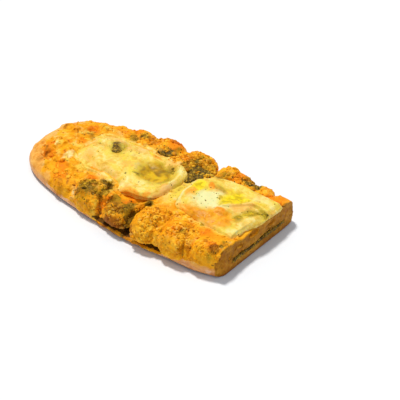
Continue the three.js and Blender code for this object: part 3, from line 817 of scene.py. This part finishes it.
brieMarks = {
    "olive": [
        (68, 6, 22, 15, 0.8, -48), (79, 10, 20, 9, 0.35, -10), (95, -18, 16, 7, 0.4, -20),
        (118, 7, 14, 6, 0.8, -30), (103, -12, 6, 5, 0.9), (125, -4, 7, 14, 0.7, 10),
        (108, 9, 14, 5, 0.5, 15), (40, 3, 8, 12, 0.5, 35), (167, 11, 13, 10, 0.7, -20),
        (195, -7, 9, 15, 0.9, 20), (200, 5, 18, 10, 0.9, 45), (207, 9, 8, 7, 0.8, 20),
        (197, -15, 10, 9, 0.5, 20), (187, -8, 8, 5, 0.5, 40), (203, -9, 6, 8, 0.5), (172, 2, 6, 6, 0.5),
        (184, 1, 14, 3, 0.5, 45),
    ],
    "pocket": [(113, -2.5, 31, 25)],
    "dark": [
        (69, 0, 7, 5, 0.6, -50), (102, -13, 4, 5, 0.7, -30), (202, 7, 11, 4, 0.6, 45),
        (195, -3, 6, 8, 0.4, 20), (121, 7, 13, 3, 0.6, -35), (208, 10, 6, 3, 0.6, 20),
        (196, -8, 5, 7, 0.3, 20),
    ],
    "orange": [
        (58, -17, 8, 7, 0.5), (113, -32, 18, 5, 1, 4), (125, -28, 9, 5, 0.9, 35),
        (119, -31, 12, 4, 0.8, 10), (80, -14, 5, 4, 0.6), (90, -24, 6, 4, 0.5, -20), (78, -24, 5, 3, 0.6),
        (86, -26, 6, 3, 0.6), (158.5, 9, 7, 7), (151, -6, 8, 11, 1, -10), (180, -9, 8, 7, 0.9),
        (157, -22, 14, 6, 0.9, -10), (186, -14, 12, 8, 0.5), (101, 13, 12, 4, 0.8, -10),
        (81, -6, 5, 4, 0.5), (49, -2, 8, 8, 0.6, 30), (190, -22, 12, 5, 0.5), (62, -4, 5, 4, 0.4),
        (50, 9, 8, 4, 0.6, 30), (44, -8, 10, 8, 0.8), (56, -9, 5, 4, 0.5), (43, 4, 8, 10, 0.6),
        (55, -14, 22, 12, 0.55, -30), (64, -20, 10, 6, 0.4, -20),
    ],
    "oil": [
        (177, 3, 11, 13, 0.9, 20), (180, 9, 15, 17, 1, 20), (186, 14, 12, 10, 0.8, 20),
        (151, 0, 10, 19, 0.9, 5), (157, 5, 10, 7, 0.6, 20), (172, 15, 10, 8, 0.6),
        (196, 16, 12, 6, 0.5, 20), (84, -3, 34, 20, 0.35, -20), (96, -12, 16, 8, 0.4),
        (95, 14, 14, 4, 0.7, -10), (204, 15, 10, 6, 0.4),
    ],
    "white": [
        (167, -4, 32, 22, 1.2, 15), (115, -20, 18, 7, 0.5), (56, 2, 9, 14, 0.4), (191, 10, 16, 4, 0.8, 45),
        (146, -10, 5, 26, 0.8, 5), (150, -19, 12, 4, 0.7, -50), (129, 7, 12, 6, 0.7, -40),
        (132, -8, 5, 18, 0.6, 5), (190, 16, 20, 10, 0.6, 30), (84, 4, 12, 7, 0.5), (200, 22, 18, 8, 0.5),
        (201, -21, 10, 6, 0.6, 20), (204, -2, 6, 10, 0.5, 20), (110, -27, 26, 5, 0.4, 4),
    ],
    "peach": [
        (84, -22, 30, 7, 0.5, -12), (88, 14, 24, 8, 0.5, -12), (76, 8, 12, 8, 0.4), (134, -12, 6, 26, 0.5),
        (46, 2, 12, 14, 0.5), (55, -12, 12, 8, 0.5, -30), (64, 14, 16, 6, 0.5),
    ],
    "skin": [(184, -16, 20, 15, 1.4, 3), (170, -21, 34, 9, 1, 3), (191, -20, 12, 6, 0.7)],
}


def makeBrie(node, name):
    melted = copyOfNode(node, name)
    shape = brieShapes[name]
    lift(melted, brie["swell"], None, "NORMAL")
    remake(melted, brie["voxel"], brie["evened"])
    where, normals = planOf(melted), normalsOf(melted)
    along, height = where[:, 0], where[:, 2]
    crustHeight = np.interp(along, *zip(*shape["crustHeight"]))
    tucked = ease(np.abs(normals[:, 2]), 0.8, 0.3) * easeAt(height, crustHeight, brie["tuckFade"])
    tucked *= easeAt(along, plan["cut"], brie["tuckCut"])
    for rest in brieRests:
        tucked *= 1 - alongLine(where, rest["edge"], brie["tuckAway"])
    lift(melted, -brie["tuck"], tucked, "NORMAL")
    for distance, direction, mark, soft in shape["pulls"]:
        lift(melted, distance, spots(where, [mark], soft), direction)
    facing = ease(normals[:, 2], -0.2, 0.3)
    for rise, width, line in shape["bands"]:
        lift(melted, rise, alongLine(where, line, width) * facing)
    for depth, soft, mark in shape["hollows"]:
        lift(melted, -depth, spots(where, [mark], soft) * facing)
    roughen(melted, "CLOUDS", brie["waves"], noise_depth=1)
    roughen(melted, "CLOUDS", brie["fine"], noise_depth=1)
    where = planOf(melted)
    keepMarks(melted, where, brieMarks)
    keepMelted(melted, where, 1)
    # The tucked edge is painted darker as painted shade, less where its rim is browned orange
    keep(melted, "tucked", tucked * shape["shadowed"] * (1 - 0.8 * spots(where, brieMarks["orange"])))
    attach(melted, "root")
    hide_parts(node)
    smoothShade(melted)
    return melted


brieColours = {
    "white": ("e6df9c", 0.8, 0.1, 1.1), "peach": ("efbc74", 0.6, 0.2, 0.8),
    "oil": ([(0.36, "ccac00"), (0.5, "e8c800"), (0.64, "f4da20")], 0.9, 0.05, 0.85),
    "pocket": ([(0.36, "966e04"), (0.5, "c29404"), (0.62, "dcb00e")], 0.6, 0.25, 0.8),
    "olive": ([(0.36, "6e5a06"), (0.48, "a0820c"), (0.6, "ccaa20")], 1.2, 0.3, 0.9),
    "skin": ([(0.36, "cc7e04"), (0.5, "e8960a"), (0.62, "f6b01e")], 1.2, 0.1, 0.9),
    "orange": ([(0.36, "d8740a"), (0.48, "f09418"), (0.6, "f8b23c")], 1.2, 0.3, 0.9),
    "dark": ("4a3a06", 2.2, 0.35, 0.95), "tucked": "6e4c08", "speck": "c09420",
}


def brieMaterial():
    dye = Recipe("meltedBrie")
    tones = brieColours
    _, middle, fine, shade, pale = cheeseTones(dye)
    golden = dye.ramp(shade, cheeseColours["golden"])
    colour = dye.mix(dye.broken(dye.value("melted"), middle, *meltedEdge), golden, pale)
    oily, deep = dye.grain(5, 2, 0.5, 0.8), dye.grain(9, 2, 0.5, 0.6)
    for mark, by in (
        ("white", shade), ("peach", shade), ("oil", oily), ("pocket", deep), ("olive", shade),
        ("skin", shade), ("orange", shade),
    ):
        colour = dye.paint(colour, tones, mark, middle, by)
    colour = dye.paint(colour, tones, "dark", dye.grain(2, 3, 0.6))
    # Where the slice tucks into the crust it is painted darker: painted shade
    tucked = dye.broken(dye.value("tucked"), middle, 0.8, 0.3, 0.9)
    colour = dye.mix(dye.times(tucked, 0.8), colour, tones["tucked"])
    speck = dye.stretch(dye.grain(1.7, 2, 0.5, 0.2), 0.69, 0.74, 0, 0.6)
    colour = dye.mix(speck, colour, tones["speck"])
    normal = dye.bump(fine, 0.2, 0.6, dye.bump(middle, 0.45, 0.5))
    return dye.finish(
        Base_Color=colour, Normal=normal, Roughness=dye.stretch(middle, 0.3, 0.7, 0.32, 0.52),
        Specular_IOR_Level=0.22, Specular_Tint=(1, 0.95, 0.7, 1),
        Subsurface_Weight=0.1, Subsurface_Scale=0.002,
    )


# Pesto

pesto = {"evened": 2, "clumps": (3.4, -2.4), "fine": (1.3, 0.6)}
pestoPieces = {  # name, voxel size, share of the relief and swelling of the piece for each node
    "pesto_filling": ("pestoFilling", 0.9, 0.7, 0.4), "pesto_middle": ("pestoMiddle", 0.5, 1, 0.4),
    "pesto_back": ("pestoBack", 0.5, 1, 0.4), "pesto_edge": ("pestoEdge", 0.5, 1, 0.4),
    "pesto_hole": ("pestoHole", 0.5, 0.12, 1.6),
}
holeFilm = [(60.5, 2.5, 18, 6, 1.2, -49), (70, 10, 18, 9, 0.8, -49)]  # brie over the pesto in the hole


def makePesto(node, name, voxel, share, swelling):
    patch = copyOfNode(node, name)
    lift(patch, swelling, None, "NORMAL")
    remake(patch, voxel, pesto["evened"])
    before, normals = pointsOf(patch), normalsOf(patch)
    roughen(patch, "VORONOI", pesto["clumps"], share=share)
    roughen(patch, "CLOUDS", pesto["fine"], share=share, noise_depth=2)
    keep(patch, "risen", ((pointsOf(patch) - before) * normals).sum(1) * 1000)
    keep(patch, "film", spots(planOf(patch), holeFilm))
    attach(patch, "root")
    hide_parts(node)
    smoothShade(patch)
    return patch


pestoColours = {
    "green": [(0.25, "3a2a08"), (0.42, "664a0a"), (0.58, "8e6a12"), (0.75, "c09624")],
    "shadedPits": "241a06", "film": ("d2b840", 0.9, 0.2, 1.1),
}


def pestoMaterial():
    dye = Recipe("basilPesto")
    middle, fine = dye.grain(2.2, 4, 0.6, 0.5), dye.grain(0.7, 3)
    cell = dye.node("SeparateColor", Color=dye.cells(1.1)).outputs[1]
    shade = dye.times(cell, 0.45, dye.times(middle, 0.55))
    shade = dye.times(dye.value("tone"), 0.3, shade)
    colour = dye.ramp(shade, pestoColours["green"])
    # Low places of the pesto painted near black: painted shade in its pits
    shadedPits = dye.stretch(dye.value("risen"), 0.1, -0.8)
    colour = dye.mix(dye.times(shadedPits, 0.7), colour, pestoColours["shadedPits"])
    colour = dye.paint(colour, pestoColours, "film", middle)
    return dye.finish(
        Base_Color=colour, Normal=dye.bump(fine, 0.3, 0.8),
        Roughness=dye.stretch(middle, 0.3, 0.7, 0.35, 0.6),
        Specular_IOR_Level=0.2, Specular_Tint=(1, 0.85, 0.5, 1),
    )


# Scattered things: grains of browned cheese, bits of pesto, flecks of herb

coarse = {"size": (2.0, 4.6), "width": (0.6, 1), "height": (0.35, 0.6), "sunk": 0.55, "risen": 0.4}
grains = {  # width and height are shares of the size; lumps are (subdivisions, kinds, seed)
    "coarseGrains": {"count": 700, **coarse, "seed": 3, "lumps": (2, 6, 8)},
    "smallGrains": {
        "count": 1300, "size": (0.9, 2.0), "width": (0.6, 1), "height": (0.5, 0.8), "sunk": 0.45,
        "seed": 4, "risen": 0.4, "lumps": (1, 6, 8),
    },
    "shreds": {
        "count": 170, "size": (4.0, 9.0), "width": (0.16, 0.28), "height": (0.12, 0.18), "sunk": 0.75,
        "bend": 0.12, "seed": 6, "risen": 0.3, "lumps": (2, 6, 8),
    },
    "pestoBits": {
        "count": 700, "size": (0.8, 2.2), "width": (0.5, 1), "height": (0.3, 0.5), "sunk": 0.7,
        "seed": 5, "risen": 0.4, "lumps": (1, 6, 9),
    },
    "herbFlecks": {
        "counts": {"brieLeft": 46, "brieRight": 52},
        "size": (0.8, 1.8), "width": (0.4, 0.8), "height": (0.2, 0.3), "sunk": 0.6,
        "bend": 0.1, "seed": 11, "risen": 0.3, "lumps": (1, 4, 11),
    },
    "crumbsOnPesto": {
        "counts": {"pestoMiddle": 300, "pestoBack": 60, "pestoEdge": 60},
        **coarse, "seed": 31, "lumps": (1, 6, 12),
    },
}
hiddenUnderToppings = [(90, -6, 92, 48), (180, 1, 68, 50, 1, 4), (134, 22, 22, 38, 1, 14)]
oliveCrumbs = [(134, 22, 60, 90, 0.6), (99, 26, 30, 20, 0.5), (175, 35, 30, 20, 0.5)]


def lumpShapes(subdivisions, kinds, seed):  # a few uneven balls as (points, faces)
    draw = np.random.default_rng(seed)
    shapes = []
    for _ in range(kinds):
        bpy.ops.mesh.primitive_ico_sphere_add(subdivisions=subdivisions, radius=0.5)
        ball = bpy.context.object
        points = pointsOf(ball)
        faces = np.array([face.vertices[:] for face in ball.data.polygons])
        data = ball.data
        bpy.data.objects.remove(ball)
        bpy.data.meshes.remove(data)
        shapes.append((points * draw.uniform(0.75, 1.25, (len(points), 1)), faces))
    return shapes


def placesOn(piece, chance, count, draw):  # random places on a piece, with their normals
    mesh = piece.data
    mesh.calc_loop_triangles()
    corners = np.empty(len(mesh.loop_triangles) * 3, np.int64)
    mesh.loop_triangles.foreach_get("vertices", corners)
    corners = corners.reshape(-1, 3)
    points, normals = pointsOf(piece), normalsOf(piece)
    a, b, c = (points[corners[:, k]] for k in range(3))
    weight = np.linalg.norm(np.cross(b - a, c - a), axis=1) * chance[corners].mean(1)
    total = np.cumsum(weight)
    found = np.searchsorted(total, draw.uniform(0, total[-1], count))
    share = draw.dirichlet((1, 1, 1), count)[:, :, None]
    spot = (points[corners[found]] * share).sum(1)
    normal = (normals[corners[found]] * share).sum(1)
    return spot, normal / np.linalg.norm(normal, axis=1)[:, None]


def scatter(name, material, grounds, marks=None):  # grounds are (piece, chance at each point, count)
    settings = grains[name]
    shapes = lumpShapes(*settings["lumps"])
    draw = np.random.default_rng(settings["seed"])
    found = [placesOn(piece, chance, count, draw) for piece, chance, count in grounds]
    spot, normal = (np.concatenate([places[k] for places in found]) for k in (0, 1))
    count = len(spot)
    smallest, largest = settings["size"]
    size = smallest + (largest - smallest) * draw.uniform(0, 1, count) ** 2
    aside = np.cross(normal, draw.normal(size=(count, 3)))
    aside /= np.linalg.norm(aside, axis=1)[:, None]
    other = np.cross(normal, aside)
    width = size * draw.uniform(*settings["width"], count)
    height = size * draw.uniform(*settings["height"], count)
    shape = np.stack([size, width, height], 1) / 1000
    spot = spot + normal * (shape[:, 2] * (0.5 - settings["sunk"]))[:, None]
    tone = draw.normal(0, 0.5, count)
    kind = draw.integers(0, len(shapes), count)
    bend = settings.get("bend", 0)
    points, faces, corners = [], [], len(shapes[0][0])
    for k in range(count):
        ball, sides = shapes[kind[k]]
        local = ball * shape[k]
        local[:, 1] += bend * (ball[:, 0] ** 2 * 4 - 0.3) * shape[k, 0]
        points.append(spot[k] + local @ np.stack([aside[k], other[k], normal[k]]))
        faces.append(sides + k * corners)
    mesh = bpy.data.meshes.new(name)
    mesh.from_pydata(np.concatenate(points).tolist(), [], np.concatenate(faces).tolist())
    piece = added(name, mesh)
    keep(piece, "tone", np.repeat(tone, corners))
    keep(piece, "risen", np.full(count * corners, settings["risen"]))
    if marks is not None:
        keepMarks(piece, toPlan(np.repeat(spot, corners, axis=0)), marks)
    piece.data.materials.append(material)
    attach(piece, "root")
    smoothShade(piece)
    return piece


def scatterGrains(loaf, crust, green):
    granular, smooth, cut = (kept(loaf, name) for name in ("granular", "smooth", "cut"))
    where = planOf(loaf)
    upward = ease(normalsOf(loaf)[:, 2], -0.35, 0.3)
    bare = 1 - spots(where, hiddenUnderToppings, 0.1)
    shown = (1 - cut) * upward * ease(where[:, 2], 5, 9) * (1 - smooth) * bare
    crumbled = shown * (0.05 + 0.95 * granular)
    stringy = shown * (1 - granular) * ease(where[:, 0], 70, 40)
    for name, chance in (("coarseGrains", crumbled), ("smallGrains", crumbled), ("shreds", stringy)):
        piece = scatter(name, crust, [(loaf, chance, grains[name]["count"])], topMarks)
    herbs = kept(loaf, "olive") + 0.4 * granular * np.clip(kept(loaf, "valley"), 0, 1)
    chance = shown * np.clip(herbs, 0, 1)
    piece = scatter("pestoBits", green, [(loaf, chance, grains["pestoBits"]["count"])])


def scatterOnToppings(toppings, crust, green):
    grounds = []
    for name, count in grains["herbFlecks"]["counts"].items():
        on = toppings[name]
        chance = ease(normalsOf(on)[:, 2], 0.5, 0.9) * (0.1 + kept(on, "white") + kept(on, "olive"))
        grounds.append((on, chance, count))
    piece = scatter("herbFlecks", green, grounds)
    grounds = []
    for name, count in grains["crumbsOnPesto"]["counts"].items():
        on = toppings[name]
        where = planOf(on)
        chance = ease(normalsOf(on)[:, 2], 0.2, 0.8) * ease(wander(where, 9, 5) + where[:, 1] / 50, 0.25, 0.8)
        grounds.append((on, chance, count))
    piece = scatter("crumbsOnPesto", crust, grounds, {**topMarks, "olive": oliveCrumbs})


# Floor

table = {"size": 6, "below": 0.0002, "colour": (0.81, 0.83, 0.86), "roughness": 0.9, "specular": 0.1}


def makeFloor():
    bpy.ops.mesh.primitive_plane_add(size=table["size"], location=(0, 0, lowCorner.z - table["below"]))
    floor = bpy.context.object
    floor.name = "floor"
    bpy.ops.object.transform_apply(location=True)
    floor.data.materials.append(Recipe("whiteTable").finish(
        Base_Color=(*table["colour"], 1), Roughness=table["roughness"],
        Specular_IOR_Level=table["specular"],
    ))


bpy.context.scene.view_settings.view_transform = "Standard"
back, right = placeCamera()
placeLights(back, right)
makeFloor()
crust, soft, green = crustMaterial(), brieMaterial(), pestoMaterial()
loaf = makeBread()
loaf.data.materials.append(crust)
toppings = {}
for node, name in (("brie_left", "brieLeft"), ("brie_right", "brieRight")):
    toppings[name] = makeBrie(node, name)
    toppings[name].data.materials.append(soft)
for node, (name, *settings) in pestoPieces.items():
    toppings[name] = makePesto(node, name, *settings)
    toppings[name].data.materials.append(green)
scatterGrains(loaf, crust, green)
scatterOnToppings(toppings, crust, green)
